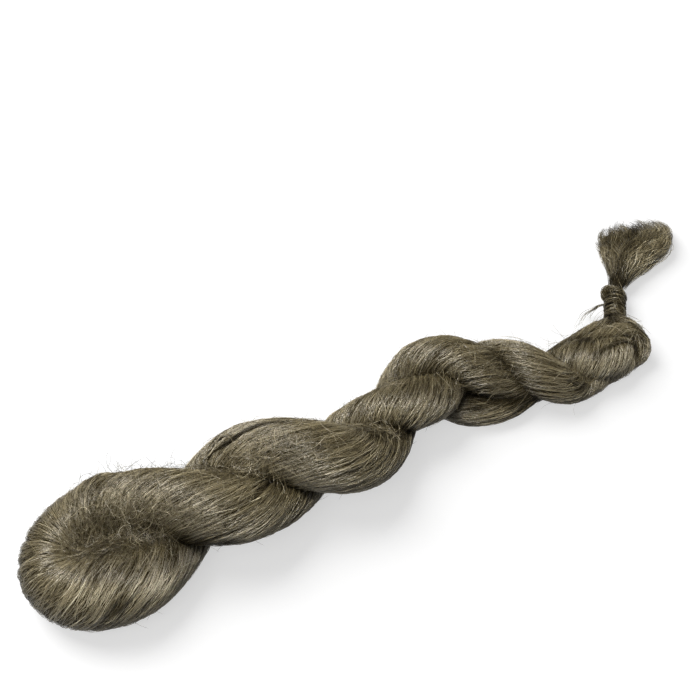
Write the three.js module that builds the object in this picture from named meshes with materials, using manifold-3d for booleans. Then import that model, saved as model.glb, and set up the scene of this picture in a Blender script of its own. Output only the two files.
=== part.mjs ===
// A strick of hackled flax: one long bundle of line fibre, twisted up hard, folded at its middle and
// plied back on itself. Its thin ends pass through a wrapped tie and open into a short loose brush.
// Millimetres. +X runs along the strick from the fold to the tied end, +Z is up, and z = 0 is the
// surface that it rests on. The origin is under the middle of the box round the whole strick.

import * as THREE from 'three';
import { mergeVertices } from 'three/addons/utils/BufferGeometryUtils.js';
import Module from 'manifold-3d';

const wasm = await Module();
wasm.setup();

// Driving dimensions
const SURFACE = 0;
const BUNDLE_RINGS = 150;
const BUNDLE_AROUND = 20;
const WISP_RINGS = 28;
const WISP_AROUND = 12;
const BRUSH_RINGS = 11;
const BRUSH_AROUND = 8;
const END_RINGS = 10;
const END_AROUND = 6;
const LOCKS_IN_BUNDLE = 5;
const LOCKS_IN_WISP = 3;
const LOCK_RISE = 0.048;
const STEEPEST_LOCK = 36;
const NECK_RADIUS = 4.1;
const TIE_CLEARANCE = 0.5;
const TIE_LENGTH = 16;
const TIE_TURNS = 7;
const TIE_WALL = 0.7;
const TURN_HEIGHT = 0.7;
const TIE_SLANT = 1.3;
const TIE_AROUND = 20;
const STEPS_IN_TURN = 4;

// The tangle of short fibre that closes the hollow of the fold
const TANGLE_CENTRE = new THREE.Vector3(-149, -30.2, 9.2);
const TANGLE_HALF = new THREE.Vector3(17, 8, 8.5);
const TANGLE_TURN = -0.1;
const TANGLE_AROUND = 14;
const TANGLE_BANDS = 10;

// Where the neck enters the tie, on the neck's centre line, and the way it runs through it
const TIE_START = new THREE.Vector3(132.9, 7.5, 5.6);
const TIE_WAY = new THREE.Vector3(10, 17, 0).normalize();

// Colours of the fibre and of the darker wrapping
const FIBRE_COLOUR = 0x7b7360;
const TIE_COLOUR = 0x5a5240;

// The centre line of the bundle, half of its width and height, and the lay of its fibre in degrees
// from the centre line. Both legs are twisted to the left and wind round each other to the right.

// First leg, from the brush through the tie, round the hook and along the strick to the fold
const LEG_TO_FOLD = [
  { x: 144.6, y: 27.4, z: 5.6, wide: 4.6, tall: 4.6, lay: 8 },
  { x: 140.6, y: 20.6, z: 5.6, wide: 4.1, tall: 4.1, lay: 8 },
  { x: 136.6, y: 13.8, z: 5.6, wide: 4.1, tall: 4.1, lay: 8 },
  { x: 132.5, y: 6.9, z: 5.6, wide: 4.1, tall: 4.1, lay: 8 },
  { x: 129.6, y: 1.4, z: 7, wide: 4.6, tall: 4.6, lay: 12 },
  { x: 129.2, y: -4, z: 9.6, wide: 5.6, tall: 5.6, lay: 20 },
  { x: 130.6, y: -10, z: 11.4, wide: 5.8, tall: 5.8, lay: 30 },
  { x: 130.6, y: -15.8, z: 10.2, wide: 5.8, tall: 5.8, lay: 30 },
  { x: 126.5, y: -20.4, z: 7.6, wide: 5.8, tall: 5.8, lay: 30 },
  { x: 118.5, y: -23, z: 5.6, wide: 5.6, tall: 5.6, lay: 30 },
  { x: 107.5, y: -24.5, z: 5, wide: 5.6, tall: 5.6, lay: 30 },
  { x: 95.5, y: -27, z: 6, wide: 6.5, tall: 6.5, lay: 28 },
  { x: 85, y: -27, z: 10.8, wide: 8.5, tall: 8.5, lay: 24 },
  { x: 76, y: -21, z: 15.6, wide: 10.5, tall: 10.5, lay: 20 },
  { x: 67.5, y: -10.2, z: 18, wide: 10.5, tall: 10.5, lay: 20 },
  { x: 60, y: -0.5, z: 15.2, wide: 9, tall: 9, lay: 26 },
  { x: 52.5, y: 3.6, z: 12, wide: 8, tall: 8, lay: 34 },
  { x: 43.5, y: 0.8, z: 10.2, wide: 8, tall: 8, lay: 44 },
  { x: 33.5, y: -6.2, z: 12.6, wide: 9, tall: 9, lay: 52 },
  { x: 20.5, y: -12.2, z: 18.6, wide: 11.5, tall: 11.5, lay: 54 },
  { x: 5, y: -14.2, z: 22, wide: 12.5, tall: 12.5, lay: 54 },
  { x: -12, y: -12.2, z: 19.5, wide: 11, tall: 11, lay: 50 },
  { x: -26.4, y: -11.4, z: 13.4, wide: 10, tall: 10, lay: 44 },
  { x: -39.2, y: -17.2, z: 9.6, wide: 10.4, tall: 10.2, lay: 40 },
  { x: -53.2, y: -28, z: 10.4, wide: 10.4, tall: 10.2, lay: 38 },
  { x: -70, y: -37.8, z: 18, wide: 11.5, tall: 11.5, lay: 36 },
  { x: -88, y: -39.2, z: 25, wide: 15, tall: 15, lay: 36 },
  { x: -106, y: -32.2, z: 28, wide: 16.5, tall: 16.5, lay: 40 },
  { x: -125.5, y: -20.7, z: 25, wide: 16.7, tall: 16.7, lay: 50 },
  { x: -143, y: -12.2, z: 19, wide: 15.6, tall: 15.6, lay: 64 },
  { x: -158.5, y: -12.2, z: 15.6, wide: 14.2, tall: 14.2, lay: 78 },
];

// Second leg, from the fold back along the strick to its end inside the hook
const LEG_FROM_FOLD = [
  { x: -169.5, y: -18.2, z: 14, wide: 13.5, tall: 13.5, lay: 84 },
  { x: -174.3, y: -28.7, z: 13.6, wide: 13.4, tall: 13.4, lay: 84 },
  { x: -172, y: -39.7, z: 14.2, wide: 14.2, tall: 14.2, lay: 74 },
  { x: -163, y: -47, z: 15.4, wide: 16, tall: 16, lay: 62 },
  { x: -149.5, y: -49, z: 16.2, wide: 17.4, tall: 17.4, lay: 50 },
  { x: -136, y: -46.4, z: 14.4, wide: 16.4, tall: 16.4, lay: 40 },
  { x: -122, y: -39.3, z: 11.8, wide: 13.8, tall: 13.8, lay: 30 },
  { x: -107, y: -27.2, z: 12.8, wide: 13, tall: 13, lay: 24 },
  { x: -91.5, y: -15.7, z: 19, wide: 14, tall: 14, lay: 18 },
  { x: -73, y: -15.7, z: 27, wide: 15.6, tall: 15.6, lay: 22 },
  { x: -51.5, y: -26.7, z: 30.4, wide: 16, tall: 16, lay: 30 },
  { x: -32.5, y: -34.4, z: 25.4, wide: 15, tall: 15, lay: 30 },
  { x: -16.5, y: -29.2, z: 16, wide: 13, tall: 13, lay: 30 },
  { x: -4, y: -17.8, z: 11, wide: 11.2, tall: 11, lay: 28 },
  { x: 4.5, y: -5.8, z: 10.8, wide: 11.2, tall: 11, lay: 22 },
  { x: 13, y: 3.2, z: 14.4, wide: 11.4, tall: 11.4, lay: 20 },
  { x: 23.5, y: 5.2, z: 20.4, wide: 12.4, tall: 12.4, lay: 32 },
  { x: 36.5, y: 0.8, z: 23, wide: 12, tall: 12, lay: 44 },
  { x: 49, y: -9.2, z: 18.5, wide: 11, tall: 11, lay: 38 },
  { x: 59.5, y: -16.2, z: 11.6, wide: 9, tall: 9, lay: 34 },
  { x: 71, y: -17.8, z: 7.8, wide: 8.5, tall: 8.5, lay: 36 },
  { x: 82.5, y: -15.4, z: 8, wide: 9.5, tall: 9.5, lay: 40 },
  { x: 93, y: -15.8, z: 10.2, wide: 11, tall: 11, lay: 54 },
  { x: 103.5, y: -18.2, z: 11.8, wide: 11.3, tall: 11.3, lay: 66 },
  { x: 114, y: -18.8, z: 11, wide: 10.4, tall: 10.4, lay: 70 },
  { x: 122, y: -16.4, z: 9.2, wide: 8, tall: 8, lay: 66 },
  { x: 127.5, y: -11.6, z: 7.6, wide: 5.5, tall: 5.5, lay: 50 },
];

// A slimmer wisp that parts from the first leg under the fourth crossing and joins the neck again
const WISP = [
  { x: 26, y: -9, z: 7.4, wide: 6, tall: 6, lay: 10 },
  { x: 37.5, y: -17.5, z: 6.4, wide: 7.8, tall: 7.4, lay: 8 },
  { x: 51.5, y: -21.5, z: 6.2, wide: 7.8, tall: 7.4, lay: 8 },
  { x: 65, y: -21, z: 6, wide: 6.4, tall: 6.2, lay: 10 },
  { x: 76, y: -16, z: 5.6, wide: 6, tall: 6, lay: 12 },
  { x: 85, y: -10.4, z: 6.6, wide: 6, tall: 6, lay: 14 },
  { x: 95, y: -7.8, z: 7.8, wide: 6.4, tall: 6.4, lay: 16 },
  { x: 106, y: -6.4, z: 9, wide: 7, tall: 7, lay: 20 },
  { x: 117, y: -4.6, z: 9.6, wide: 7.2, tall: 7.2, lay: 18 },
  { x: 126, y: -0.6, z: 8.4, wide: 4.8, tall: 4.8, lay: 14 },
];

// The loose brush past the tie, lock by lock from the left to the right, each from inside the neck
const BRUSH = [
  [
    { x: 142, y: 23, z: 5.6, wide: 3.4, tall: 3.4, lay: 0 },
    { x: 146, y: 32, z: 5.5, wide: 4, tall: 4.4, lay: 0 },
    { x: 148.5, y: 40.5, z: 4.2, wide: 4, tall: 4.4, lay: 0 },
    { x: 149.5, y: 49, z: 3.1, wide: 3.5, tall: 3.5, lay: 0 },
    { x: 149.5, y: 58, z: 1, wide: 1.4, tall: 1.4, lay: 0 },
  ],
  [
    { x: 142, y: 23, z: 5.6, wide: 3.4, tall: 3.4, lay: 0 },
    { x: 147.5, y: 32, z: 6, wide: 5, tall: 5.4, lay: 0 },
    { x: 152.5, y: 42.5, z: 5.2, wide: 5, tall: 5.4, lay: 0 },
    { x: 156, y: 53.5, z: 4, wide: 4.5, tall: 4.5, lay: 0 },
    { x: 158.5, y: 65.5, z: 1.1, wide: 1.5, tall: 1.5, lay: 0 },
  ],
  [
    { x: 142, y: 23, z: 5.6, wide: 3.4, tall: 3.4, lay: 0 },
    { x: 149.5, y: 31.5, z: 7, wide: 6, tall: 6.4, lay: 0 },
    { x: 157.5, y: 43, z: 6.1, wide: 6, tall: 6.4, lay: 0 },
    { x: 163.5, y: 54.5, z: 4.5, wide: 5, tall: 5, lay: 0 },
    { x: 168, y: 67.5, z: 1.1, wide: 1.5, tall: 1.5, lay: 0 },
  ],
  [
    { x: 142.5, y: 22, z: 5.6, wide: 3.4, tall: 3.4, lay: 0 },
    { x: 151, y: 30.5, z: 7.5, wide: 6, tall: 6.4, lay: 0 },
    { x: 161, y: 39.5, z: 7.4, wide: 7, tall: 7, lay: 0 },
    { x: 170, y: 49, z: 5.6, wide: 6, tall: 6, lay: 0 },
    { x: 176.5, y: 63, z: 1.2, wide: 1.6, tall: 1.6, lay: 0 },
  ],
  [
    { x: 142.5, y: 22, z: 5.6, wide: 3.4, tall: 3.4, lay: 0 },
    { x: 152.5, y: 29.5, z: 6.5, wide: 5, tall: 5.6, lay: 0 },
    { x: 163.5, y: 35.5, z: 6.4, wide: 6, tall: 6.4, lay: 0 },
    { x: 174, y: 41.5, z: 6.2, wide: 6, tall: 6.2, lay: 0 },
    { x: 182, y: 50.5, z: 4.4, wide: 4.5, tall: 4.8, lay: 0 },
    { x: 183, y: 62, z: 1.1, wide: 1.5, tall: 1.5, lay: 0 },
  ],
  [
    { x: 142.5, y: 22, z: 5.6, wide: 3.4, tall: 3.4, lay: 0 },
    { x: 153, y: 27.5, z: 5, wide: 4, tall: 4.6, lay: 0 },
    { x: 164.5, y: 32, z: 5, wide: 5, tall: 5, lay: 0 },
    { x: 174.5, y: 36.5, z: 5.6, wide: 5, tall: 6, lay: 0 },
    { x: 182.5, y: 42.5, z: 5.6, wide: 5, tall: 6, lay: 0 },
    { x: 183.5, y: 51.5, z: 4, wide: 3.5, tall: 4.4, lay: 0 },
    { x: 178.5, y: 56.5, z: 1.8, wide: 1.4, tall: 1.4, lay: 0 },
  ],
];

// The tie's one free end, curling out of its left side and down towards the surface
const TIE_END = [
  { x: 131.8, y: 17.2, z: 6.2, wide: 0.8, tall: 0.8, lay: 0 },
  { x: 128, y: 18.6, z: 6, wide: 0.8, tall: 0.8, lay: 0 },
  { x: 123.8, y: 18.6, z: 4.8, wide: 0.8, tall: 0.8, lay: 0 },
  { x: 120.6, y: 16.2, z: 2.8, wide: 0.7, tall: 0.7, lay: 0 },
  { x: 119.8, y: 13, z: 0.8, wide: 0.7, tall: 0.7, lay: 0 },
];

// A table's rows anywhere along it: the centre, and the section with the lay
function smoothCurve(points) {
  return new THREE.CatmullRomCurve3(points, false, 'catmullrom');
}

function centreCurve(rows) {
  return smoothCurve(rows.map((row) => new THREE.Vector3(row.x, row.y, row.z)));
}

function sectionCurve(rows) {
  return smoothCurve(rows.map((row) => new THREE.Vector3(row.wide, row.tall, row.lay)));
}

// Rings of points along a strand, which starts with a flat downwards. A few shallow locks are raised
// on it and turn with its twist, and what would reach below the surface lies flat on it.
function strandRings(rows, ringCount, around, locks) {
  const centres = centreCurve(rows);
  const sections = sectionCurve(rows);
  const up = new THREE.Vector3(0, 0, 1);
  const rings = [];
  let turned = Math.PI / around;
  let last = null;
  for (let i = 0; i <= ringCount; i += 1) {
    const centre = centres.getPoint(i / ringCount);
    const way = centres.getTangent(i / ringCount);
    const side = new THREE.Vector3().crossVectors(up, way).normalize();
    const top = new THREE.Vector3().crossVectors(way, side);
    const section = sections.getPoint(i / ringCount);
    const lay = THREE.MathUtils.degToRad(Math.min(section.z, STEEPEST_LOCK));
    const radius = (section.x + section.y) / 2;
    if (last) turned += centre.distanceTo(last) * Math.tan(lay) / radius;
    last = centre;
    const ring = { centre, points: [] };
    for (let k = 0; k < around; k += 1) {
      const angle = 2 * Math.PI * k / around;
      const swell = locks ? 1 + LOCK_RISE * Math.cos(locks * angle) : 1;
      const turn = angle + turned;
      const point = centre.clone();
      point.addScaledVector(side, Math.sin(turn) * section.x * swell);
      point.addScaledVector(top, Math.cos(turn) * section.y * swell);
      point.z = Math.max(point.z, SURFACE);
      ring.points.push(point);
    }
    rings.push(ring);
  }
  return rings;
}

// A closed body over the rings from first to last: a capped cylinder, one unit high and two across,
// with its points moved on to them
function closedTube(rings, first, last) {
  const around = rings[0].points.length;
  const steps = last - first;
  const tube = new THREE.CylinderGeometry(1, 1, 1, around, steps, false);
  tube.deleteAttribute('normal');
  tube.deleteAttribute('uv');
  const body = mergeVertices(tube);
  const position = body.attributes.position;
  for (let i = 0; i < position.count; i += 1) {
    const x = position.getX(i);
    const z = position.getZ(i);
    const share = 1 / 2 - position.getY(i);
    const ring = rings[first + Math.round(share * steps)];
    const place = Math.round(Math.atan2(x, z) / (2 * Math.PI) * around);
    const onAxis = Math.hypot(x, z) < 1 / 2;
    const point = onAxis ? ring.centre : ring.points[(place + around) % around];
    position.setXYZ(i, point.x, point.y, point.z);
  }
  return body;
}

function toSolid(geometry) {
  const vertProperties = Float32Array.from(geometry.attributes.position.array);
  const triVerts = Uint32Array.from(geometry.index.array);
  return new wasm.Manifold(new wasm.Mesh({ numProp: 3, vertProperties, triVerts }));
}

function toGeometry(solid) {
  const mesh = solid.getMesh();
  const points = Float32Array.from(mesh.vertProperties);
  const corners = Uint32Array.from(mesh.triVerts);
  const geometry = new THREE.BufferGeometry();
  geometry.setAttribute('position', new THREE.BufferAttribute(points, 3));
  geometry.setIndex(new THREE.BufferAttribute(corners, 1));
  geometry.computeVertexNormals();
  return geometry;
}

function joined(solids) {
  return solids.reduce((whole, solid) => whole.add(solid));
}

// The bundle's two legs, which meet face to face at the fold
function bundleSolids() {
  const rows = [...LEG_TO_FOLD, ...LEG_FROM_FOLD];
  const rings = strandRings(rows, BUNDLE_RINGS, BUNDLE_AROUND, LOCKS_IN_BUNDLE);
  const fold = Math.round(LEG_TO_FOLD.length / (rows.length - 1) * BUNDLE_RINGS);
  const legs = [[0, fold], [fold, BUNDLE_RINGS]];
  return legs.map(([first, last]) => toSolid(closedTube(rings, first, last)));
}

function plainStrand(rows, ringCount, around, locks) {
  return toSolid(closedTube(strandRings(rows, ringCount, around, locks), 0, ringCount));
}

function tangle() {
  const ball = new THREE.SphereGeometry(1, TANGLE_AROUND, TANGLE_BANDS);
  ball.scale(TANGLE_HALF.x, TANGLE_HALF.y, TANGLE_HALF.z);
  ball.rotateZ(TANGLE_TURN);
  ball.translate(TANGLE_CENTRE.x, TANGLE_CENTRE.y, TANGLE_CENTRE.z);
  ball.deleteAttribute('normal');
  ball.deleteAttribute('uv');
  return toSolid(mergeVertices(ball));
}

function strickGeometry() {
  const wisp = plainStrand(WISP, WISP_RINGS, WISP_AROUND, LOCKS_IN_WISP);
  const brush = BRUSH.map((lock) => plainStrand(lock, BRUSH_RINGS, BRUSH_AROUND, 0));
  return toGeometry(joined([...bundleSolids(), tangle(), wisp, ...brush]));
}

// The tie: a sleeve round the neck with its turns raised as one winding ridge and a slanted rim.
// The profile closes on itself, and its outer points follow the winding.
function tieSleeve() {
  const inner = NECK_RADIUS + TIE_CLEARANCE;
  const outer = inner + TIE_WALL;
  const steps = TIE_TURNS * STEPS_IN_TURN;
  const profile = [new THREE.Vector2(inner, 0), new THREE.Vector2(inner, TIE_LENGTH)];
  for (let i = steps; i >= 0; i -= 1) {
    profile.push(new THREE.Vector2(outer, TIE_LENGTH * i / steps));
  }
  profile.push(new THREE.Vector2(inner, 0));
  const sleeve = new THREE.LatheGeometry(profile, TIE_AROUND);
  sleeve.deleteAttribute('normal');
  sleeve.deleteAttribute('uv');
  const body = mergeVertices(sleeve);
  const side = new THREE.Vector3().crossVectors(new THREE.Vector3(0, 0, 1), TIE_WAY);
  const position = body.attributes.position;
  for (let i = 0; i < position.count; i += 1) {
    const along = position.getY(i);
    const angle = Math.atan2(position.getX(i), position.getZ(i));
    const radius = Math.hypot(position.getX(i), position.getZ(i));
    const turns = TIE_TURNS * along / TIE_LENGTH - angle / (2 * Math.PI);
    const winding = TURN_HEIGHT * (1 - Math.cos(2 * Math.PI * turns)) / 2;
    const ridge = radius > inner + TIE_WALL / 2 ? winding : 0;
    const slid = along * (1 + TIE_SLANT * Math.sin(angle) / TIE_LENGTH);
    const point = TIE_START.clone().addScaledVector(TIE_WAY, slid);
    point.addScaledVector(side, Math.sin(angle) * (radius + ridge));
    point.z = Math.max(point.z + Math.cos(angle) * (radius + ridge), SURFACE);
    position.setXYZ(i, point.x, point.y, point.z);
  }
  return body;
}

function tieGeometry() {
  const end = plainStrand(TIE_END, END_RINGS, END_AROUND, 0);
  return toGeometry(toSolid(tieSleeve()).add(end));
}

function named(name, geometry, color) {
  const material = new THREE.MeshStandardMaterial({ color, roughness: 0.62, metalness: 0 });
  const mesh = new THREE.Mesh(geometry, material);
  mesh.name = name;
  return mesh;
}

const group = new THREE.Group();
group.add(named('strick', strickGeometry(), FIBRE_COLOUR));
group.add(named('tie', tieGeometry(), TIE_COLOUR));

export default group;
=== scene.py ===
"""The looks of a flax strick: thousands of single fibres over the frame's solids, a floor and light.

Lengths are in millimetres and become metres where a mesh is made. A strand is a centre line with its
section and the lay of its fibre, and every fibre follows the lay of the strand that it belongs to.
"""
import math

import bpy
import numpy as np
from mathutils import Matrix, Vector


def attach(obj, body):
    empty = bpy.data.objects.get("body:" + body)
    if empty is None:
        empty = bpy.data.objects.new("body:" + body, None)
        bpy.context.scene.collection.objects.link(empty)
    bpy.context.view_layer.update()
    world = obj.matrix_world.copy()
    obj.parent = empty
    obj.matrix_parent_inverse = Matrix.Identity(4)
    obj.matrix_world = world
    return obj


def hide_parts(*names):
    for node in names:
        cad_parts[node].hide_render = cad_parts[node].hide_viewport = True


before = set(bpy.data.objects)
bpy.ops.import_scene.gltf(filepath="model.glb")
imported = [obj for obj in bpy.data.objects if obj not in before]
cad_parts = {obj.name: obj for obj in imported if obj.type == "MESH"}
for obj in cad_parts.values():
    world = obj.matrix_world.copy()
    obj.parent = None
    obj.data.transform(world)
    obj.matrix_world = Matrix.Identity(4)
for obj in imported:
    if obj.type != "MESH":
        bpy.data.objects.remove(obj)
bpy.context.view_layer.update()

MM = 0.001
UP = np.array([0.0, 0.0, 1.0])
FAR = 1e3
rng = np.random.default_rng(2067)
pieces = bpy.data.collections.new("strick_pieces")

# How low a fibre's middle and its surface may lie, how finely a strand is sampled, and the sides of a fibre
FLOOR_CLEARANCE = 0.25
LOWEST = 0.02
SAMPLE_STEP = 1.0
FIBRE_SIDES = 3

# Columns: x, y, z, half width, half height, lay of the fibre in degrees from the centre line.
# First leg of the bundle, from the brush through the tie and round the hook to the fold
LEG_TO_FOLD = [
    (144.6, 27.4, 5.6, 3.2, 3.2, 8), (140.6, 20.6, 5.6, 4.1, 4.1, 8), (136.6, 13.8, 5.6, 4.1, 4.1, 8),
    (132.5, 6.9, 5.6, 4.1, 4.1, 8), (129.6, 1.4, 7, 4.6, 4.6, 12), (129.2, -4, 9.6, 5.6, 5.6, 20),
    (130.6, -10, 11.4, 5.8, 5.8, 30), (130.6, -15.8, 10.2, 5.8, 5.8, 30), (126.5, -20.4, 7.6, 5.8, 5.8, 50),
    (118.5, -23, 5.6, 5.6, 5.6, 64), (107.5, -24.5, 5, 5.6, 5.6, 64), (95.5, -27, 6, 6.5, 6.5, 50),
    (85, -27, 10.8, 8.5, 8.5, 24), (76, -21, 15.6, 10.5, 10.5, 20), (67.5, -10.2, 18, 10.5, 10.5, 20),
    (60, -0.5, 15.2, 9, 9, 26), (52.5, 3.6, 12, 8, 8, 34), (43.5, 0.8, 10.2, 8, 8, 44),
    (33.5, -6.2, 12.6, 9, 9, 52), (20.5, -12.2, 18.6, 11.5, 11.5, 54), (5, -14.2, 22, 12.5, 12.5, 54),
    (-12, -12.2, 19.5, 11, 11, 50), (-26.4, -11.4, 13.4, 10, 10, 44), (-39.2, -17.2, 9.6, 10.4, 10.2, 40),
    (-53.2, -28, 10.4, 10.4, 10.2, 38), (-70, -37.8, 18, 11.5, 11.5, 36), (-88, -39.2, 25, 15, 15, 36),
    (-106, -32.2, 28, 16.5, 16.5, 40), (-125.5, -20.7, 25, 16.7, 16.7, 50), (-143, -12.2, 19, 15.6, 15.6, 64),
    (-158.5, -12.2, 15.6, 14.2, 14.2, 78),
]

# Second leg, from the fold back along the strick to its end inside the hook
LEG_FROM_FOLD = [
    (-169.5, -18.2, 14, 13.5, 13.5, 84), (-174.3, -28.7, 13.6, 13.4, 13.4, 84),
    (-172, -39.7, 14.2, 14.2, 14.2, 74), (-163, -47, 15.4, 16, 16, 62), (-149.5, -49, 16.2, 17.4, 17.4, 50),
    (-136, -46.4, 14.4, 16.4, 16.4, 40), (-122, -39.3, 11.8, 13.8, 13.8, 30), (-107, -27.2, 12.8, 13, 13, 24),
    (-91.5, -15.7, 19, 14, 14, 18), (-73, -15.7, 27, 15.6, 15.6, 22), (-51.5, -26.7, 30.4, 16, 16, 30),
    (-32.5, -34.4, 25.4, 15, 15, 30), (-16.5, -29.2, 16, 13, 13, 30), (-4, -17.8, 11, 11.2, 11, 28),
    (4.5, -5.8, 10.8, 11.2, 11, 22), (13, 3.2, 14.4, 11.4, 11.4, 20), (23.5, 5.2, 20.4, 12.4, 12.4, 32),
    (36.5, 0.8, 23, 12, 12, 44), (49, -9.2, 18.5, 11, 11, 38), (59.5, -16.2, 11.6, 9, 9, 34),
    (71, -17.8, 7.8, 8.5, 8.5, 36), (82.5, -15.4, 8, 9.5, 9.5, 40), (93, -15.8, 10.2, 11, 11, 54),
    (103.5, -18.2, 11.8, 11.3, 11.3, 66), (114, -18.8, 11, 10.4, 10.4, 70), (122, -16.4, 9.2, 8, 8, 66),
    (127.5, -11.6, 7.6, 5.5, 5.5, 50),
]

# A slimmer wisp that parts from the first leg under the fourth crossing and joins the neck again
WISP = [
    (26, -9, 7.4, 6, 6, 10), (37.5, -17.5, 6.4, 7.8, 7.4, 8), (51.5, -21.5, 6.2, 7.8, 7.4, 8),
    (65, -21, 6, 6.4, 6.2, 10), (76, -16, 5.6, 6, 6, 12), (85, -10.4, 6.6, 6, 6, 14),
    (95, -7.8, 7.8, 6.4, 6.4, 16), (106, -6.4, 9, 7, 7, 20), (117, -4.6, 9.6, 7.2, 7.2, 18),
    (126, -0.6, 8.4, 4.8, 4.8, 14),
]

# The tangle of short fibre that closes the hollow of the fold
HOLLOW = [
    (-165, -28.5, 9.2, 2.5, 3, 40), (-159, -29, 9.2, 6.4, 6.8, 40), (-149, -30, 9.2, 8, 8.5, 40),
    (-139, -31, 9.2, 6.4, 6.8, 40), (-133, -31.5, 9.2, 2.5, 3, 40),
]

# A lock that lies over the end of the second leg, passes under the foot of the tie and turns in round it
HOOK = [
    (97, -13, 16.2, 2.4, 2.2, 16), (105, -13.5, 18.4, 4.3, 3.6, 22), (114.5, -12, 17.4, 4.8, 4.2, 24),
    (124, -10.5, 14.8, 4.8, 4.4, 22), (130.5, -13, 12.4, 4.6, 4.4, 18), (133, -18, 9.6, 4.3, 4.3, 14),
    (130.5, -22, 6.6, 3.8, 3.8, 12), (125.5, -22.5, 4.6, 3.2, 3.2, 12), (120, -22.5, 3.8, 1.8, 1.8, 12),
]

# The loose brush past the tie, lock by lock from the left to the right, without a lay. The roots of its
# left and right locks, and each lock's rows and tone
LEFT_ROOT = (142.5, 22.5, 5.6, 3.4, 3.4)
RIGHT_ROOT = (142.5, 22, 5.6, 3.4, 3.4)
BRUSH = [
    [LEFT_ROOT, (145.5, 31, 5.6, 3.6, 4.2), (149, 40, 4.4, 3.6, 4.2), (150.5, 48.5, 3.4, 3.6, 3.4),
     (152, 58.5, 1.6, 2.8, 1.6)],
    [LEFT_ROOT, (148, 32, 6, 4.6, 5.2), (153, 42, 5.4, 4.8, 5.2), (156, 53.5, 4.2, 4.8, 4.2),
     (160.5, 65.5, 1.6, 3.2, 1.6)],
    [LEFT_ROOT, (149.5, 31, 7, 5.2, 6), (156.5, 41.5, 6.2, 5.8, 6), (163, 53.5, 4.6, 5.6, 4.6),
     (168, 66, 1.8, 3.6, 1.8)],
    [RIGHT_ROOT, (150, 30.5, 7.4, 5.2, 6.2), (158.5, 39.5, 7, 6, 6.4), (167, 48.5, 5.6, 5.4, 5.4),
     (173, 57, 3.6, 4.4, 3.6), (173, 65.5, 1.8, 3.2, 1.8)],
    [RIGHT_ROOT, (151, 30, 7.4, 5.4, 6.2), (160, 37.5, 7.4, 6.2, 6.6), (169.5, 44, 6, 5.6, 5.8),
     (176, 50.5, 4.6, 4, 4.4), (178.5, 58, 2.6, 2.6, 2.4), (176.5, 64.5, 1.4, 2.2, 1.4)],
    [RIGHT_ROOT, (152, 29, 6.4, 4.4, 5.4), (162, 34.5, 6.4, 5.2, 6), (172.5, 39.5, 6.2, 5.4, 5.8),
     (179.5, 45.5, 5.2, 4.2, 4.8), (183, 53.5, 3.4, 3, 3.2), (182, 62, 1.6, 1.4, 1.2)],
    [RIGHT_ROOT, (152, 27.5, 4.8, 3.2, 4.2), (163, 31.5, 4.8, 3.8, 4.4), (173, 35.5, 5.4, 4.2, 5),
     (181, 40.5, 5.4, 4.2, 5), (186, 47.5, 4.2, 3.4, 4), (186.5, 55, 2.8, 2.4, 2.4),
     (184.5, 61.5, 1.6, 1.4, 1.2)],
]
BRUSH_TONES = (-0.14, -0.1, -0.22, -0.28, -0.06, 0.1, 0.18)

# The tie: its axis along the neck, the stretch and number of its turns, its knob and its free end
TIE_START = np.array([132.9, 7.5, 5.6])
TIE_WAY = np.array([10.0, 17.0, 0.0]) / math.hypot(10, 17)
TIE_TOP = np.array([141.0, 21.3, 5.6])
TIE_SPAN = (-4.6, 14.8)
TIE_TURNS = 8
TIE_KNOB = [
    (139.8, 15.8, 10.8, 1.2, 1.0, 20), (138.4, 19, 10.6, 1.4, 1.2, 20), (136, 21.4, 9.4, 1.7, 1.5, 20),
    (134, 21, 7.4, 1.7, 1.6, 20), (133.4, 18.4, 5.8, 1.5, 1.4, 20), (134.6, 15.8, 4.6, 1.2, 1.1, 20),
]
TIE_END = [
    (131.6, 14.2, 6.4), (128.6, 15.4, 6), (125.5, 15.5, 4.6), (121, 14.5, 2.4), (116, 11.5, 1),
    (111, 7, 0.8),
]
TIE_END_RADIUS = 0.5

# Locks raised on a strand: how wide they are, how far widths range, how high they stand, how sharp their
# partings are, the level that they stand about, how many go round, and their ranges of start, sway and wave
LOCK_WIDTH, LOCK_RANGE, LOCK_HEIGHT = 6.5, 0.75, 0.8
LOCK_SHARPNESS, LOCK_LEVEL = 0.6, 0.75
LOCK_COUNTS = (1, 2, 3, 5, 8, 13, 21)
LOCK_WAVES = ((0, 0.3, 25), (math.pi, 1.3, 60))

# Streaks of tone between neighbouring fibres: how many go round, their ranges of start and wave, and sway
STREAK_COUNTS = (11, 17, 26, 37, 53, 71)
STREAK_WAVES = ((0, 14), (2 * math.pi, 45))
STREAK_SWAY = 2

# Partings between locks on the bundle, and with a depth below 0 ridges. Columns: distance along it,
# angle from the top in degrees, half length, depth, half width
PARTINGS = [
    (362, -21, 6, 1.6, 1.0), (371, -25, 7, -1.8, 5), (444, -62, 8, 1.4, 0.8), (453, -46, 7, 1.2, 0.7),
    (437, -30, 7, 1.0, 0.7), (531, 24, 7, 1.6, 0.7), (541, 13, 16, 2.4, 0.9), (300, 4, 14, 1.4, 0.9),
    (225, 10, 12, 1.0, 0.7), (604, 20, 14, 1.0, 0.8), (677, 12, 10, 0.9, 0.7), (745, -8, 9, 1.2, 0.8),
]

# Partings placed at random: how many, how far they stay from the bundle's ends, and the ranges of their
# angle, half length, depth and half width
LOOSE_PARTINGS = 46
LOOSE_MARGIN = 20
LOOSE_RANGES = ((-2, 2), (6, 18), (0.5, 1.2), (0.4, 0.9))

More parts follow.
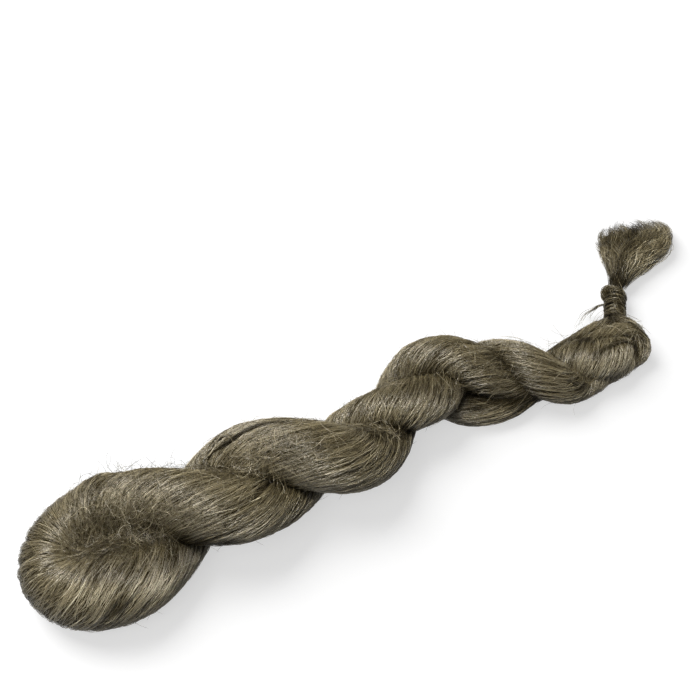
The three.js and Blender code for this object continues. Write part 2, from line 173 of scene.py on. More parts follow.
# Partings and creases that show as dark lines of painted shade
LOBE_PARTING = [
    (-95.5, -14, 33), (-87.5, -13, 37.5), (-80, -12.5, 40.5), (-73.5, -12, 42.5), (-64.5, -13, 43.5),
    (-53.5, -16.5, 44),
]
SHORT_PARTING = [(-86.5, -7.5, 36), (-81, -8.5, 39)]
FOLD_PARTING = [(-155, -65, 21.5), (-152, -65, 23.5), (-147.5, -63.5, 25.5)]
WISP_PARTING = [(27.5, -21.5, 15.5), (41, -23.5, 12.5)]
HOOK_CREASE = [
    (102, -23, 22), (109.5, -21.5, 22), (117.5, -20, 20.5), (123, -19.5, 17.5), (127, -22, 13.5),
    (126, -25.5, 10.5),
]
FOURTH_CREASE = [
    (-23.5, -26.5, 34.5), (-19.5, -30, 34), (-15.5, -30, 31.5), (-10, -29, 27), (-4, -28, 23),
    (1.5, -26.5, 20),
]

# Dark fibres of painted shade along those lines: how many, and how far they spread from the line
SHADE_HAIR_LINES = [
    (LOBE_PARTING, 64, 0.3), (SHORT_PARTING, 10, 0.25), (FOLD_PARTING, 14, 0.3), (WISP_PARTING, 10, 0.3),
    (HOOK_CREASE, 56, 0.3), (FOURTH_CREASE, 50, 0.7),
]

# Lines along which the fibre is painted darker as shade, or with a strength below 0 lighter as painted
# highlight: places, reach and strength. The first are painted shade in the tangle, the partings, the creases
# and the neck under the tie, then come bands of painted shade and painted highlight on the combed fibre
PAINTED_LIGHT_AND_SHADE = [
    ([(-155, -20, 25), (-143, -26, 29), (-131, -34, 32)], 8.5, 0.38),
    ([(-132, -35, 29), (-119, -44, 29), (-103, -50, 23), (-95, -53, 21)], 3.5, 0.5),
    ([(-143, -1, 30), (-144, -17, 35)], 4, 0.22), ([(34, -14, 15), (60, -26, 12)], 3.5, 0.4),
    (FOURTH_CREASE, 2.4, 0.7), (HOOK_CREASE, 1.3, 0.8), (LOBE_PARTING, 0.9, 0.6), (SHORT_PARTING, 0.8, 0.5),
    (FOLD_PARTING, 1.3, 0.45), (WISP_PARTING, 1.3, 0.45),
    ([(87, -30.5, 18), (91.5, -33.5, 13), (95, -33, 10)], 2.4, 0.35),
    ([(103, -29, 10), (117, -27, 8), (129, -21, 8)], 5.5, -0.42),
    ([(131, 4, 5.5), (140.5, 20.5, 5.5)], 5, 0.6),
    ([(-161, -46, 32), (-149, -44.5, 33), (-138.5, -45.5, 32), (-129.5, -51, 28.5), (-118, -49, 21.5)],
     6, 0.2),
    ([(-158.5, -36, 26.5), (-149.5, -36.5, 28.5), (-140, -35.5, 26.5), (-131.5, -36.5, 28.5)], 4.5, 0.36),
    ([(-158.5, -52, 32.5), (-150.5, -53.5, 33), (-141.5, -54.5, 32)], 3, 0.2),
    ([(-142.5, -17.5, 36), (-135, -20, 39.5), (-127.5, -25.5, 41.5), (-121, -32.5, 42)], 3.5, -0.3),
    ([(-121, -43, 29.5), (-112.5, -47, 25.5)], 3, -0.14),
    ([(13, -12.5, 33.5), (25.5, -21.5, 23.5)], 3.5, 0.12),
    ([(-22.5, -29.5, 35.5), (-12, -27.5, 28), (-8.5, -32, 26)], 2.5, 0.14),
    ([(83.5, -21.5, 23), (91, -23.5, 18), (98, -27, 17.5)], 3, -0.26),
    ([(-92.5, -18.5, 34), (-86, -14.5, 38.5)], 3, -0.12),
    ([(-145.5, -1, 29.5), (-135.5, -7.5, 36)], 3, 0.14),
    ([(-4.5, -13.5, 33.5), (12, -16, 33.5), (27, -16.5, 27)], 4.5, 0.17),
    ([(-167, -55.5, 28.5), (-155, -59.5, 29.5), (-142.5, -62, 26.5), (-129.5, -60, 21)], 4.5, -0.4),
    ([(-157, -17, 29.5), (-145, -17, 34.5), (-134, -22.5, 39.5), (-122, -28, 42.5)], 4, -0.2),
    ([(-166.5, -25.5, 25.5), (-169.5, -34.5, 27)], 3, -0.15),
    ([(-124, -41, 27), (-108, -49, 26)], 3, -0.14), ([(-37, -49, 29.5), (-20, -46, 25.5)], 3.5, -0.15),
    ([(-96, -53, 25), (-76.5, -52.5, 23), (-53.5, -41, 12)], 3, -0.22),
    ([(-25, -12.5, 25.5), (-12, -18.5, 29.5)], 3, -0.13), ([(1.5, -26.5, 22), (17.5, -25, 20)], 3, -0.13),
    ([(54, -23.5, 15.5), (71.5, -30.5, 17.5), (83, -35, 13.5), (94, -33.5, 10)], 4, -0.17),
    ([(82, -26.5, 23), (97, -26, 18.5)], 3, -0.16), ([(107, -15.5, 22.5), (122, -14, 18.5)], 2.5, -0.14),
    ([(-107, -41, 42), (-87, -40, 40)], 4, -0.15), ([(-79.5, -19, 41), (-57, -25, 42)], 4, -0.15),
    ([(-33.5, -26, 41), (-8, -20.5, 29.5), (13, -23.5, 29)], 4, -0.14),
    ([(91, -23.5, 18), (105.5, -28, 17.5), (123, -25.5, 12)], 6.5, -0.22),
]

# Tangles of short fibre: the line that each lies along, its hairs, its reach, how high it stands, its curl,
# its tone, and how far it bridges the hollow or crease under it
# Their low tones in the hollow and the creases are painted shade
TANGLES = [
    ([(-154, -18), (-143, -22), (-131, -30), (-121, -39)], 1150, 5, (-2.5, 0.8), 0.3, 0.26, 30),
    ([(-157, -36), (-149, -37.5), (-140, -36.5), (-131, -38)], 200, 2, (-0.3, 1), 0.25, 0.1, 30),
    ([(-162, -24), (-153, -31), (-143, -36)], 420, 3, (-1.5, 1), 0.3, 0.3, 30),
    ([(-152, -19), (-143, -23), (-131, -30), (-119, -40)], 160, 4.5, (0.5, 1.9), 0.3, 0.5, 30),
    ([(-121, -39), (-110, -47), (-98, -52)], 230, 1.8, (-1, 0.8), 0.25, 0.26, 30),
    ([(31, -15), (53.5, -21.5)], 190, 2.4, (-0.3, 0.8), 0.15, 0.34, 5),
    ([(-24, -28), (-4, -29)], 100, 2, (-0.3, 0.7), 0.2, 0.26, 5),
    ([(-22, -27), (-5, -32)], 26, 2.5, (0.3, 1.4), 0.15, 0.5, 5),
    ([(-76, -26), (-53, -36)], 260, 1.6, (-0.3, 0.8), 0.16, 0.34, 5),
    ([(-78, -26), (-53, -37)], 60, 2.5, (0.3, 1.6), 0.1, 0.55, 5),
    ([(-100, -30), (-80, -27)], 110, 1.6, (-0.3, 0.8), 0.15, 0.38, 5),
    ([(88, -31), (95, -33)], 36, 1.4, (-0.3, 0.8), 0.15, 0.28, 5),
]

# The camera looks at the strick as the photograph does
CAMERA_AIM = (0.003, 0.0445, 0)
CAMERA_AZIMUTH = -24
CAMERA_ELEVATION = 50
CAMERA_DISTANCE = 0.8264
CAMERA_LENS = 85
CAMERA_CLIP = (0.01, 20)

# Light: the floor's glow and colour, the sky, and area lights with their place, size, power and colour,
# some for the floor alone and some for the strick alone
FLOOR_GLOW = 0.57
FLOOR_COLOUR = (0.46, 0.46, 0.46, 1)
SKY = 0.2
FLOOR_LIGHTS = [
    ("window", (-0.5, 0.8, 1.1), 1.2, 30, (1, 1, 1)),
    ("floor_fill", (-0.9, -0.5, 1.0), 0.8, 4, (1, 1, 1)),
]
STRICK_LIGHTS = [
    ("overhead", (-0.28, 0.05, 1.3), 0.5, 34.5, (1.0, 0.955, 0.86)),
    ("back", (-0.2, 0.95, 0.9), 0.8, 8, (1.0, 0.955, 0.86)),
    ("strick_fill", (-0.9, -0.6, 0.7), 0.8, 3, (1.0, 0.96, 0.88)),
]

# Colours of the fibre and of its core, painted dark as shade, by tone, and the fibre's index of refraction
FLAX = [(0.0, (0.010, 0.0075, 0.003)), (0.3, (0.058, 0.047, 0.0225)), (0.6, (0.172, 0.145, 0.080)),
        (0.85, (0.34, 0.30, 0.20)), (1.0, (0.54, 0.50, 0.38))]
DARK = [(0.3, (0.008, 0.006, 0.003)), (0.7, (0.045, 0.036, 0.018))]
FIBRE_IOR = 1.6

# Tones run from dark to light, and the waves of curled fibre start anywhere
TONE_RANGE = (0.02, 1)
PHASES = (0, 6.3)

# Where a piece belongs: its node, and the name of a material slot beside it
STRICK = ("strick", "flax_fibre")
TIE = ("tie", "flax_tie")

# A stray hair of the photo: its start, heading, curl, step and lift
STRAY_HAIR = (51.4, -31.2, 0.41, -0.012, 3.2, 1.2)


def unit(vectors):
    return vectors / np.maximum(np.linalg.norm(vectors, axis=-1, keepdims=True), 1e-9)


def above_floor(points):
    points[..., 2] = np.maximum(points[..., 2], FLOOR_CLEARANCE)
    return points


def spline(rows, count):
    """Points of a Catmull-Rom curve through the rows, evenly spaced in its parameter."""
    rows = np.array(rows, float)
    held = np.vstack([2 * rows[0] - rows[1], rows, 2 * rows[-1] - rows[-2]])
    along = np.linspace(0, len(rows) - 1, count)
    first = np.minimum(along.astype(int), len(rows) - 2)
    t = (along - first)[:, None]
    a, b, c, d = (held[first + k] for k in range(4))
    return (2 * b + (c - a) * t + (2 * a - 5 * b + 4 * c - d) * t**2 + (3 * b - 3 * c + d - a) * t**3) / 2


class Strand:
    """A centre line sampled finely, with its section, the lay of its fibre and the locks raised on it."""

    def __init__(self, rows, top=None, locks=LOCK_HEIGHT):
        rows = np.array(rows, float)
        rough = np.linalg.norm(np.diff(rows[:, :3], axis=0), axis=1).sum()
        points = spline(rows, max(int(rough / SAMPLE_STEP), 8 * len(rows)))
        self.centre = points[:, :3]
        way = unit(np.gradient(self.centre, axis=0))
        hint = UP if top is None else top(self.centre)
        self.top = unit(hint - way * (way * hint).sum(-1, keepdims=True))
        self.side = np.cross(self.top, way)
        self.wide, self.tall = points[:, 3], points[:, 4]
        self.lay = np.radians(np.clip(points[:, 5], 0, 85))
        self.s = np.concatenate([[0], np.cumsum(np.linalg.norm(np.diff(self.centre, axis=0), axis=1))])
        radius = (self.wide + self.tall) / 2
        turning = np.tan(self.lay) / radius
        self.twist = np.concatenate([[0], np.cumsum(np.diff(self.s) * (turning[1:] + turning[:-1]) / 2)])
        self.length = self.s[-1]
        self.lock_height = locks
        self.locks = [(count, *rng.uniform(*LOCK_WAVES)) for count in LOCK_COUNTS]
        self.partings = []
        self.streak_waves = [(count, *rng.uniform(*STREAK_WAVES)) for count in STREAK_COUNTS]

    def read(self, values, s):
        if values.ndim == 1:
            return np.interp(s, self.s, values)
        return np.stack([np.interp(s, self.s, column) for column in values.T], -1)

    def radius_at(self, s):
        return (self.read(self.wide, s) + self.read(self.tall, s)) / 2

    def part(self, s, angle, length, depth, width):
        """A long dark parting between locks, with its middle at s and angle."""
        self.partings.append((s, angle - self.read(self.twist, s), length, depth, width))

    def relief(self, s, angle):
        """How far the locks stand off the plain section. They follow the lay, with sharp partings."""
        turned = angle - self.read(self.twist, s)
        across = 2 * math.pi * self.radius_at(s) * np.cos(self.read(self.lay, s))
        height = np.zeros_like(s)
        weight = np.full_like(s, 1e-6)
        for count, start, sway, wave in self.locks:
            width = across / count
            share = np.exp(-((np.log(width / LOCK_WIDTH) / LOCK_RANGE) ** 2))
            ridge = np.abs(np.sin(count * turned / 2 + start + sway * np.sin(s / wave + start)))
            height += share * ridge**LOCK_SHARPNESS
            weight += share
        height = self.lock_height * (height / weight - LOCK_LEVEL)
        for middle, line, length, depth, width in self.partings:
            off = (turned - line + math.pi) % (2 * math.pi) - math.pi
            away = off * across / (2 * math.pi) / width
            height -= depth * np.exp(-(away**2) - ((s - middle) / length) ** 4)
        return height

    def streaks(self, s, angle):
        """Tone that neighbouring fibres share, about -1 to 1, in streaks along the lay."""
        turned = angle - self.read(self.twist, s)
        total = sum(np.sin(count * turned + start + STREAK_SWAY * np.sin(s / wave + start))
                    for count, start, wave in self.streak_waves)
        return total / math.sqrt(len(self.streak_waves))

    def place(self, s, angle, lift):
        """Points on the strand's surface, lifted off it, and never below the floor."""
        height = self.relief(s, angle) + lift
        sin, cos = np.sin(angle)[..., None], np.cos(angle)[..., None]
        wide = (self.read(self.wide, s) + height)[..., None]
        tall = (self.read(self.tall, s) + height)[..., None]
        points = self.read(self.centre, s) + self.read(self.side, s) * sin * wide
        return above_floor(points + self.read(self.top, s) * cos * tall)

    def outwards(self, s, angle):
        sin, cos = np.sin(angle)[..., None], np.cos(angle)[..., None]
        return unit(self.read(self.side, s) * sin + self.read(self.top, s) * cos)

    def ahead(self, s, angle, lift, step):
        """The way from places on the strand to the places a step further along the lay."""
        lay = self.read(self.lay, s)
        there = self.place(s + step * np.cos(lay), angle + step * np.sin(lay) / self.radius_at(s), lift)
        return there - self.place(s, angle, lift)

    def follow(self, s, angle, step, count, waver):
        """Walks along the lay from each start: the distances along the strand and the angles."""
        steps_s, steps_angle = [s], [angle]
        phase = rng.uniform(0, 2 * math.pi, len(s))
        wave = rng.uniform(9, 26, len(s))
        for k in range(count - 1):
            lay = self.read(self.lay, s) + waver * np.sin(phase + k * step * 2 * math.pi / wave)
            s = s + step * np.cos(lay)
            angle = angle + step * np.sin(lay) / np.maximum(self.radius_at(s), 1)
            steps_s.append(s)
            steps_angle.append(angle)
        return np.stack(steps_s, 1), np.stack(steps_angle, 1)


def depth_inside(points, strands, own=None, own_s=None):
    """How deep each point lies inside the nearest other strand, and how high it is above it if not."""
    coarse, batch, own_gap = 4, 8000, 45
    depth = np.full(len(points), -FAR)
    for strand in strands:
        centre, s = strand.centre[::coarse], strand.s[::coarse]
        radius = ((strand.wide + strand.tall) / 2)[::coarse]
        for start in range(0, len(points), batch):
            part = slice(start, start + batch)
            away = np.linalg.norm(points[part, None] - centre, axis=2)
            inside = radius - away
            if strand is own:
                inside[np.abs(own_s[part, None] - s) < own_gap] = -FAR
            depth[part] = np.maximum(depth[part], inside.max(1))
    return depth


def tube_points(paths, radius):
    """Vertices of thin tubes with pointed ends along paths of one length."""
    tip, bluntness = 0.25, 0.35
    count, points, _ = paths.shape
    way = unit(np.gradient(paths, axis=1))
    across = unit(np.cross(way[:, 0], rng.normal(size=(count, 3))))
    taper = np.sin(np.linspace(tip, math.pi - tip, points - 2)) ** bluntness
    vertices = [paths[:, 0]]
    for k in range(1, points - 1):
        across = unit(across - way[:, k] * (across * way[:, k]).sum(1, keepdims=True))
        second = np.cross(way[:, k], across)
        for corner in range(FIBRE_SIDES):
            turn = 2 * math.pi * corner / FIBRE_SIDES
            out = across * math.cos(turn) + second * math.sin(turn)
            vertices.append(paths[:, k] + out * (radius * taper[k - 1])[:, None])
    return np.stack([*vertices, paths[:, -1]], 1)


def tube_faces(around, rings, first):
    """The faces of a tube: their corners, their sizes, and their corners' places on a map.

    The tube's vertices are a tip, ring after ring, and a tip. First is the corner that each quad starts
    with, which sets its diagonal.
    """
    quad = np.roll([[0, 1, 1, 0], [0, 0, 1, 1]], -first, 1)
    side, ring = np.arange(around)[:, None], np.arange(1, rings)[:, None, None]
    start, middle = (side + [0.5, 1, 0], [0, 1, 1]), (side + quad[0], ring + quad[1])
    end = (side + [0, 1, 0.5], [rings, rings, rings + 1])
    corners, sizes, places = [], [], []
    for faces in (start, middle, end):
        across, along = np.broadcast_arrays(*faces)
        corner = np.clip(1 + (along - 1) * around + across % around, 0, 1 + rings * around)
        corners.append(corner.astype(int).ravel())
        sizes += [corner.shape[-1]] * (corner.size // corner.shape[-1])
        places.append(np.stack([across / around, along / (rings + 1)], -1).reshape(-1, 2))
    return np.concatenate(corners), sizes, np.concatenate(places)


def new_mesh(name, vertices, corners, sizes, material, uv=None, tone=None):
    """A smooth mesh object, in metres, from its vertices and its faces' corners and sizes."""
    mesh = bpy.data.meshes.new(name)
    vertices = vertices.reshape(-1, 3)
    mesh.vertices.add(len(vertices))
    mesh.vertices.foreach_set("co", (vertices * MM).astype(np.float32).ravel())
    mesh.loops.add(corners.size)
    mesh.loops.foreach_set("vertex_index", corners.astype(np.int32).ravel())
    mesh.polygons.add(len(sizes))
    mesh.polygons.foreach_set("loop_start", (np.cumsum(sizes) - sizes).astype(np.int32))
    mesh.polygons.foreach_set("loop_total", np.array(sizes, np.int32))
    mesh.polygons.foreach_set("use_smooth", np.ones(len(sizes), bool))
    mesh.update(calc_edges=True)
    if uv is not None:
        mesh.uv_layers.new(name="OFBake").data.foreach_set("uv", uv.astype(np.float32).ravel())
    if tone is not None:
        field = mesh.attributes.new("tone", "FLOAT", "POINT")
        field.data.foreach_set("value", tone.astype(np.float32).ravel())
    mesh.materials.append(material)
    piece = bpy.data.objects.new(name, mesh)
    bpy.context.collection.objects.link(piece)
    return piece


def fibre_mesh(name, paths, radius, tone, material):
    """One mesh of many fibres. On its map each fibre has a narrow upright cell of its own."""
    narrowness, cell_size, cell_margin = 8, (0.9, 0.96), (0.05, 0.02)
    number = np.arange(len(paths))
    columns = int(math.sqrt(len(paths) * narrowness))
    lines = math.ceil(len(paths) / columns)
    points = tube_points(paths, radius)
    points[..., 2] = np.maximum(points[..., 2], LOWEST)
    corners, sizes, cell = tube_faces(FIBRE_SIDES, paths.shape[1] - 2, 0)
    corners = number[:, None] * points.shape[1] + corners
    cell_corner = np.stack([number % columns, number // columns], 1)[:, None]
    uv = (cell_corner + cell * cell_size + cell_margin) / (columns, lines)
    tone = np.broadcast_to(tone.reshape(len(paths), -1), paths.shape[:2])
    tone = np.concatenate([tone[:, :1], np.repeat(tone[:, 1:-1], FIBRE_SIDES, 1), tone[:, -1:]], 1)
    return new_mesh(name, points, corners, sizes * len(paths), material, uv, tone)


def core_mesh(name, strand, around, spacing, inset, dense, part, material):
    """The dark body under a strand's fibres, or under the first part of it: a closed tube with the locks.

    Its rings are closer where it is dense and the fibre turns across the strand.
    """
    map_size, map_margin, grain_length = (0.98, 0.96), (0.01, 0.02), 60
    pace = spacing * (1 - dense * (np.sin(strand.lay) ** 4))
    spread = np.concatenate([[0], np.cumsum(np.diff(strand.s) / pace[1:])])
    rings = int(spread[-1])
    s = np.interp(np.linspace(0, part * spread[-1], rings), spread, strand.s)
    s, angle = np.meshgrid(s, np.linspace(0, 2 * math.pi, around + 1)[-2::-1], indexing="ij")
    tip, end = strand.read(strand.centre, s[[0, -1], :1])
    points = np.concatenate([tip, strand.place(s, angle, -inset).reshape(-1, 3), end])
    corners, sizes, uv = tube_faces(around, rings, 1)
    piece = new_mesh(name, points, corners, sizes, material, uv * map_size + map_margin)
    turned = angle - strand.read(strand.twist, s)
    grain = np.stack([np.cos(turned), np.sin(turned), s / grain_length], -1).reshape(-1, 3)
    field = piece.data.attributes.new("grain", "FLOAT_VECTOR", "POINT")
    field.data.foreach_set("vector", np.pad(grain, ((1, 1), (0, 0))).astype(np.float32).ravel())
    return piece


class Nodes:
    """Short calls that add and join a material's nodes."""

    def __init__(self, name):
        self.material = bpy.data.materials.new(name)
        self.material.use_nodes = True
        self.tree = self.material.node_tree
        self.shader = self.tree.nodes["Principled BSDF"]

    def fill(self, node, inputs):
        for key, value in inputs.items():
            if isinstance(value, bpy.types.NodeSocket):
                self.tree.links.new(value, node.inputs[key])
            else:
                node.inputs[key].default_value = value

    def add(self, kind, inputs=None, **settings):
        made = self.tree.nodes.new(kind)
        for key, value in settings.items():
            setattr(made, key, value)
        self.fill(made, inputs or {})
        return made

    def combine(self, operation, first, second):
        return self.add("ShaderNodeMath", {0: first, 1: second}, operation=operation).outputs[0]

    def ramp(self, source, stops):
        made = self.add("ShaderNodeValToRGB", {"Fac": source})
        elements = made.color_ramp.elements
        while len(elements) < len(stops):
            elements.new(0.5)
        for element, (place, colour) in zip(elements, stops):
            element.position = place
            element.color = (*colour, 1)
        return made.outputs["Color"]


def fibre_material(name, stops):
    """Fibre whose colour and gloss go by its tone, with slow drifts and fine flecks of tint."""
    tints, change, mean = ((55.0, 2.0), (900.0, 1.0)), 0.3, 0.3
    nodes = Nodes(name)
    varied = nodes.add("ShaderNodeAttribute", attribute_name="tone").outputs["Fac"]
    place = nodes.add("ShaderNodeTexCoord").outputs["Object"]
    for scale, detail in tints:
        noise = nodes.add("ShaderNodeTexNoise", {"Vector": place, "Scale": scale, "Detail": detail})
        tint = nodes.combine("MULTIPLY", noise.outputs["Fac"], change)
        varied = nodes.combine("ADD", varied, tint)
    varied = nodes.combine("SUBTRACT", varied, mean)
    gloss = nodes.add("ShaderNodeMapRange", {"Value": varied, "From Min": 0.1, "From Max": 0.5,
                                             "To Min": 0.15, "To Max": 1.0}).outputs[0]
    nodes.fill(nodes.shader, {"Base Color": nodes.ramp(varied, stops), "Roughness": 0.32,
                              "Specular IOR Level": gloss, "IOR": FIBRE_IOR})
    return nodes.material


def core_material(name, stops):
    """The fibre deep in a strand, painted dark as shade: fine streaks along the lay, with a bump."""
    nodes = Nodes(name)
    grain = nodes.add("ShaderNodeAttribute", attribute_name="grain").outputs["Vector"]
    streaks = nodes.add("ShaderNodeTexNoise", {"Vector": grain, "Scale": 22.0, "Detail": 4.0,
                                               "Roughness": 0.65}).outputs["Fac"]
    bump = nodes.add("ShaderNodeBump", {"Height": streaks, "Strength": 0.9, "Distance": 0.0006})
    nodes.fill(nodes.shader, {"Base Color": nodes.ramp(streaks, stops), "Roughness": 0.8,
                              "Specular IOR Level": 0.1, "IOR": FIBRE_IOR, "Normal": bump.outputs["Normal"]})
    return nodes.material


def seats(strands, strand, count, tries, likely, covered):
    """Random places on a strand that others don't cover too deeply: distances along it, and angles.

    Tries are so many for each place that is wanted, and so many more. A place is kept as often as
    likely says.
    """
    kept = []
    wanted = count
    while wanted > 0:
        number = tries[0] * wanted + tries[1]
        s = rng.uniform(0, strand.length, number)
        angle = rng.uniform(0, 2 * math.pi, number)
        keep = rng.uniform(0, 1, number) < likely(s, strand.outwards(s, angle))
        s, angle = s[keep], angle[keep]
        depth = depth_inside(strand.place(s, angle, 0.0), strands, strand, s)
        found = np.flatnonzero(depth < covered)[:wanted]
        kept.append(np.stack([s[found], angle[found]], 1))
        wanted -= len(found)
    return np.concatenate(kept).T


def surface_fibres(strands, strand, count, length, step, depths, waver, skew):
    """Fibres that lie along a strand where it shows: not on its underside nor deep in its neighbours.

    Returns their paths and, point by point, the distances along the strand, the angles and the lifts.
    """
    tries, covered, underside = (4, 50), 1.5, -0.8
    curl, paces, dips = 0.18, (0.5, 1.4), (0.9, 0.35)

    def likely(s, out):
        return strand.radius_at(s) / strand.wide.max() * (out[:, 2] > underside)

    s, angle = seats(strands, strand, count, tries, likely, covered)
    points = max(round(length / step) + 1, 5)
    half = length / 2
    lay = strand.read(strand.lay, s)
    start_s = s - half * np.cos(lay)
    start_angle = angle - half * np.sin(lay) / strand.radius_at(s)
    bent = rng.normal(0, 1, count) * rng.choice(skew, count)
    waver = waver * rng.uniform(0.3, 1.7, count)
    walk_s, walk_angle = strand.follow(start_s, start_angle, step, points, waver)
    off = (np.arange(points) - points / 2) * step
    walk_s = walk_s - off * (bent * np.sin(lay))[:, None]
    walk_angle = walk_angle + off * (bent * np.cos(lay) / strand.radius_at(s))[:, None]
    walk_s = np.clip(walk_s, 0, strand.length)
    lift = rng.uniform(*depths, (count, 1))
    phase = rng.uniform(*PHASES, (count, 1))
    pace = rng.uniform(*paces, (count, 1))
    lift = lift + curl * np.sin(phase + np.arange(points) * pace)
    for k, dip in enumerate(dips):
        lift[:, [k, -1 - k]] -= dip
    return strand.place(walk_s, walk_angle, lift), walk_s, walk_angle, lift


def line_distance(points, line):
    """How far the points are from a line through the given places."""
    nearest = np.full(points.shape[:-1], FAR)
    for start, end in zip(line[:-1], line[1:]):
        start, way = np.array(start, float), np.subtract(end, start)
        along = np.clip((points - start) @ way / (way @ way), 0, 1)
        nearest = np.minimum(nearest, np.linalg.norm(points - start - along[..., None] * way, axis=-1))
    return nearest


def tone_with_painted_light(nearby, strand, laid, middle, spread):
    """Tones point by point, with painted shade: darker low down, in partings, in creases between strands and
    underneath.
    """
    streak, height, relief, close, under = 0.09, 0.14, 0.13, 0.5, 0.11
    under_from = 0.33
    paths, s, angle, lift = laid
    tone = tones(len(paths), middle, spread)[:, None] + streak * strand.streaks(s, angle)
    # Painted shade and light: lifted fibre is lighter, fibre in partings darker and on raised locks a little
    # lighter
    tone += height * np.clip(lift, -1.2, 0.6)
    tone += relief * np.clip(strand.relief(s, angle), -2.4, 0.4)
    # Painted shade in the creases close to other strands
    for others, reach in nearby:
        gap = -depth_inside(paths.reshape(-1, 3), others, strand, s.ravel()).reshape(s.shape)
        tone -= close * np.exp(-np.maximum(gap, 0) / reach)
    # Painted shade on the underside
    tone -= under * np.clip(under_from - strand.outwards(s, angle)[..., 2], 0, 1)
    # Painted shade and painted highlight along the listed lines
    for line, reach, strength in PAINTED_LIGHT_AND_SHADE:
        tone -= strength * np.exp(-((line_distance(paths, line) / reach) ** 2))
    return np.clip(tone, *TONE_RANGE)


def aimed(name, data, place, way):
    """A lamp or camera at a place that looks along a way."""
    thing = bpy.data.objects.new(name, data)
    thing.location = place
    thing.rotation_mode = "QUATERNION"
    thing.rotation_quaternion = way.to_track_quat("-Z", "Y")
    bpy.context.collection.objects.link(thing)
    return thing


def area_light(name, place, size, watts, colour):
    light = bpy.data.lights.new(name, "AREA")
    light.size = size
    light.energy = watts
    light.color = colour
    return aimed(name, light, place, -Vector(place))


def make_camera():
    azimuth, elevation = math.radians(CAMERA_AZIMUTH), math.radians(CAMERA_ELEVATION)
    back = Vector((math.sin(azimuth) * math.cos(elevation), -math.cos(azimuth) * math.cos(elevation),
                   math.sin(elevation)))
    data = bpy.data.cameras.new("camera")
    data.lens = CAMERA_LENS
    data.clip_start, data.clip_end = CAMERA_CLIP
    place = Vector(CAMERA_AIM) + back * CAMERA_DISTANCE
    bpy.context.scene.camera = aimed("camera", data, place, -back)


def make_stage():
    """A plain white floor that glows a little, a pale sky, and soft lights for the floor and the strick."""
    half, white = 6.0, (1, 1, 1, 1)
    corners = np.array([(-half, -half, 0), (half, -half, 0), (half, half, 0), (-half, half, 0)]) / MM
    nodes = Nodes("white_floor")
    nodes.fill(nodes.shader, {"Base Color": FLOOR_COLOUR, "Roughness": 0.9, "Specular IOR Level": 0.1,
                              "Emission Color": white, "Emission Strength": FLOOR_GLOW})
    floor = new_mesh("floor", corners, np.arange(4), [4], nodes.material)
    world = bpy.data.worlds.new("pale_sky")
    world.use_nodes = True
    sky = world.node_tree.nodes["Background"].inputs
    sky["Color"].default_value = white
    sky["Strength"].default_value = SKY
    bpy.context.scene.world = world
    ground = bpy.data.collections.new("ground")
    ground.objects.link(floor)
    for light in FLOOR_LIGHTS:
        area_light(*light).light_linking.receiver_collection = ground
    for light in STRICK_LIGHTS:
        area_light(*light).light_linking.receiver_collection = pieces
    bpy.context.scene.view_settings.view_transform = "Standard"


def belongs(piece, node, slot):
    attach(piece, "root")
    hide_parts(node)
    pieces.objects.link(piece)


def loose_hairs(start, way, length, points, curl):
    """Hairs that leave the surface at start: along way at first, then turning about an axis of their own."""
    step = (length / (points - 1))[:, None]
    heading = unit(way)
    axis = unit(rng.normal(size=(len(start), 3)))
    paths = [start]
    for _ in range(points - 1):
        start = above_floor(start + heading * step)
        paths.append(start)
        heading = unit(heading + np.cross(axis, heading) * curl[:, None] * step)
    return np.stack(paths, 1)


def surface_hairs(strands, strand, count, length, points, spring, curl, favour):
    """Hairs that stand off a strand where it shows, more of them where favour(outwards, place) is near 1."""
    tries, covered, root, scatter = (6, 60), -0.5, -0.3, 0.25

    def likely(s, out):
        return favour(out, strand.read(strand.centre, s))

    s, angle = seats(strands, strand, count, tries, likely, covered)
    way = unit(strand.ahead(s, angle, root, 1)) * rng.choice((-1, 1), (count, 1))
    way = way + strand.outwards(s, angle) * rng.uniform(*spring, (count, 1))
    way = way + rng.normal(0, scatter, (count, 3))
    long = rng.uniform(*length, count)
    return loose_hairs(strand.place(s, angle, root), way, long, points, rng.uniform(*curl, count))


def height_field(strands, blur):
    """The upper surface of the strands on a grid seen from above, smoothed so that it bridges creases."""
    corner, size, cell = np.array([-195.0, -80.0]), (395, 165), 1.0
    spacing, around, widest = 0.7 * cell, 60, 1.9
    shape = tuple(int(side / cell) for side in size)
    field = np.zeros(shape)
    for strand in strands:
        s = np.linspace(0, strand.length, int(strand.length / spacing))
        s, angle = np.meshgrid(s, np.linspace(-widest, widest, around))
        points = strand.place(s, angle, 0.0)
        place = ((points[..., :2] - corner) / cell).astype(int)
        np.maximum.at(field, (place[..., 0], place[..., 1]), points[..., 2])
    for _ in range(2):
        field = np.maximum.reduce([field, np.roll(field, 1, 0), np.roll(field, 1, 1)])
    smooth = field
    for _ in range(blur):
        smooth = sum((np.roll(smooth, shift, axis) for axis in (0, 1) for shift in (1, -1)), smooth) / 5
    smooth = np.maximum(smooth, field)

    def height(x, y):
        place = [np.clip((value - low) / cell, 0, most - 1).astype(int)
                 for value, low, most in zip((x, y), corner, shape)]
        return smooth[tuple(place)]

    return height


def draped_hairs(height, x, y, heading, curl, step, lift):
    """Hairs that lie over the strands as seen from above, bridging the creases between them."""
    points, wave, pace, variety = 8, 0.5, 1.3, 40
    paths = []
    for k in range(points):
        z = height(x, y) + lift * (1 + wave * np.sin(k * pace + curl * variety))
        paths.append(above_floor(np.stack([x, y, z], 1)))
        x = x + np.cos(heading) * step
        y = y + np.sin(heading) * step
        heading = heading + curl * step
    paths = np.stack(paths, 1)
    paths[:, 1:-1, 2] = (paths[:, :-2, 2] + 2 * paths[:, 1:-1, 2] + paths[:, 2:, 2]) / 4
    return paths


def gentle(hairs, steepest=2.5):
    """Which of the hairs have no steep step."""
    return np.abs(np.diff(hairs[..., 2], axis=1)).max(1) < steepest


